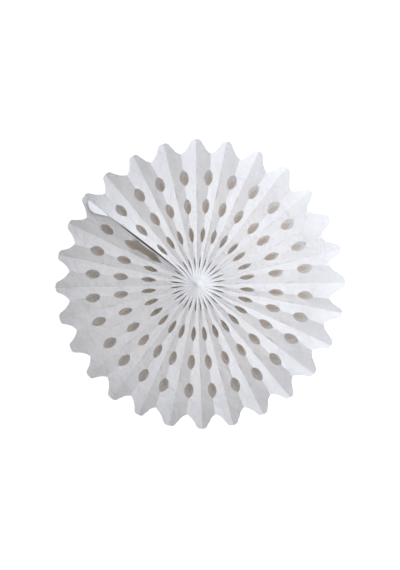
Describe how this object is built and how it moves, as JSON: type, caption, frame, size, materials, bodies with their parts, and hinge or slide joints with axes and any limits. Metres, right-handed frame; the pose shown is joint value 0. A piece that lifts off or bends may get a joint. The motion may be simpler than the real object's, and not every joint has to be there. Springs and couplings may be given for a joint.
{
  "type": "paper fan rosette",
  "caption": "Round honeycomb rosette of die-cut white tissue leaves, opened flat and closed at its card end covers.",
  "frame": {"origin": "on the rosette's axis, in the plane that its back edges rest on", "axes": "+Z out of the front of the rosette along its axis, +X to the right and +Y up in the picture"},
  "size_m": [0.3, 0.3, 0.0407],
  "materials": {
    "tissue": "matt",
    "cover_card": "matt",
    "thread": "matt"
  },
  "bodies": {
    "root": {"binding_thread": "thread", "end_cover_a": "cover_card", "end_cover_b": "cover_card", "leaf_01": "tissue", "leaf_02": "tissue", "leaf_03": "tissue", "leaf_04": "tissue", "leaf_05": "tissue", "leaf_06": "tissue", "leaf_07": "tissue", "leaf_08": "tissue", "leaf_09": "tissue", "leaf_10": "tissue", "leaf_11": "tissue", "leaf_12": "tissue", "leaf_13": "tissue", "leaf_14": "tissue", "leaf_15": "tissue", "leaf_16": "tissue", "leaf_17": "tissue", "leaf_18": "tissue", "leaf_19": "tissue", "leaf_20": "tissue", "leaf_21": "tissue", "leaf_22": "tissue", "leaf_23": "tissue", "leaf_24": "tissue", "leaf_25": "tissue", "leaf_26": "tissue", "leaf_27": "tissue", "leaf_28": "tissue", "leaf_29": "tissue", "leaf_30": "tissue", "leaf_31": "tissue", "leaf_32": "tissue", "leaf_33": "tissue", "leaf_34": "tissue", "leaf_35": "tissue", "leaf_36": "tissue", "leaf_37": "tissue", "leaf_38": "tissue", "leaf_39": "tissue", "leaf_40": "tissue", "leaf_41": "tissue", "leaf_42": "tissue", "leaf_43": "tissue", "leaf_44": "tissue", "leaf_45": "tissue", "leaf_46": "tissue", "leaf_47": "tissue", "leaf_48": "tissue", "leaf_49": "tissue", "leaf_50": "tissue", "leaf_51": "tissue", "leaf_52": "tissue", "leaf_53": "tissue", "leaf_54": "tissue", "leaf_55": "tissue", "leaf_56": "tissue"}
  },
  "joints": []
}
